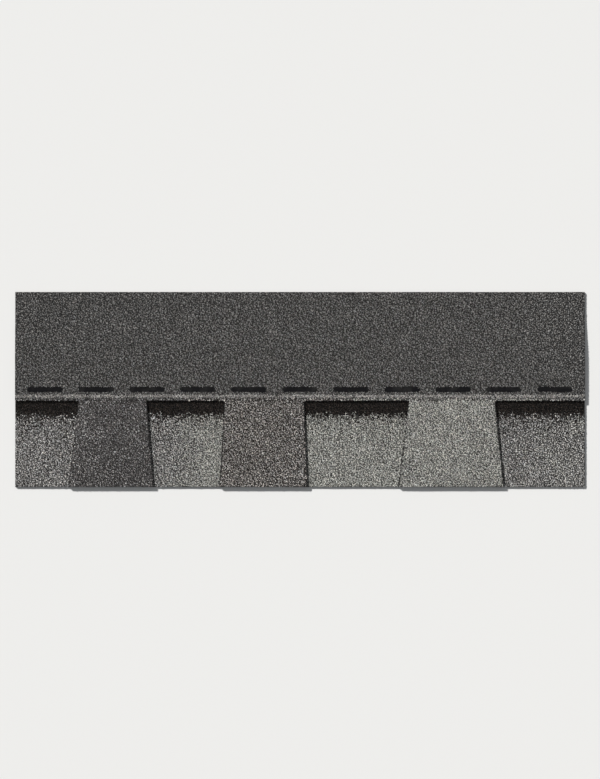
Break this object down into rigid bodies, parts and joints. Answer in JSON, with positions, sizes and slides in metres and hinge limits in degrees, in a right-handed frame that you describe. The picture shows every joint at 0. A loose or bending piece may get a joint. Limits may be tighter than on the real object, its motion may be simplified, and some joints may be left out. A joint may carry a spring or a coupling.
{
  "type": "laminated asphalt shingle",
  "caption": "Flat two-layer asphalt roofing shingle with wide tapered teeth along its butt edge, granule face, sealant dashes and release film.",
  "frame": {"origin": "on the floor plane, below the middle of the shingle's length and height", "axes": "+X along the shingle's length, +Y from the butt edge up the roof to the head edge, +Z out of the granule face"},
  "size_m": [0.984, 0.337, 0.0066],
  "materials": {
    "top_granules": "ceramic-coated mineral granules in a weathered grey blend, on black asphalt",
    "backing_granules": "the same granule blend, with a near-black band at the top of the recesses",
    "asphalt_glue": "black modified asphalt",
    "sealant": "black, slightly glossy thermoplastic sealant",
    "clear_film": "thin clear film over dusted asphalt"
  },
  "bodies": {
    "root": {"top_layer": "top_granules", "backing_layer": "backing_granules", "laminating_adhesive": "asphalt_glue", "sealant_strip": "sealant", "release_film": "clear_film"}
  },
  "joints": []
}
